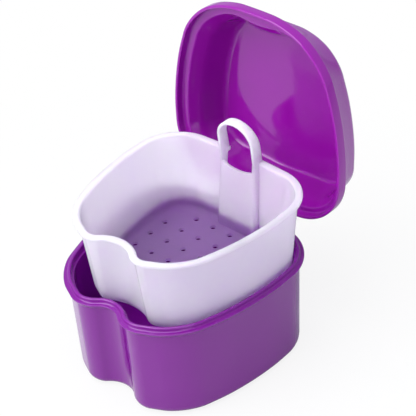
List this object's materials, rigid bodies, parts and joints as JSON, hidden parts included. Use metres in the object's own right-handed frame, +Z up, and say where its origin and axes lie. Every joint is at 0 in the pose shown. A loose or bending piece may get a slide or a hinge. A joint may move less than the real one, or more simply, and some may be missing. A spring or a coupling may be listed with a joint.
{
  "type": "denture case",
  "caption": "Soaking case for dentures: a notched tub with a hinged domed lid and a frosted strainer basket that lifts by a strap handle.",
  "frame": {"origin": "middle of the tub's flat underside, under the middle of its rim outline", "axes": "+Z up, -Y towards the finger notch at the front, +Y towards the hinge, X along the hinge line"},
  "size_m": [0.089, 0.12, 0.1354],
  "materials": {
    "tub_plastic": "glossy moulded purple plastic",
    "lid_plastic": "glossy moulded purple plastic",
    "frosted_plastic": "frosted translucent lavender plastic, satin"
  },
  "bodies": {
    "tub": {"base_cup": "tub_plastic"},
    "lid": {"lid": "lid_plastic"},
    "basket": {"strainer_basket": "frosted_plastic"}
  },
  "joints": [
    {"name": "lid_hinge", "type": "hinge", "parent": "tub", "child": "lid", "pos_m": [0, 0.04774, 0.0431], "axis": [1, 0, 0], "range_deg": [0, 92]},
    {"name": "basket_lift", "type": "slide", "parent": "tub", "child": "basket", "axis": [0.1182, 0.0493, 0.9918], "range_m": [-0.03045, 0]}
  ],
  "couplings": [
    {"joint": "basket_lift", "follows": "lid_hinge", "m_per_rad": -0.018964}
  ]
}
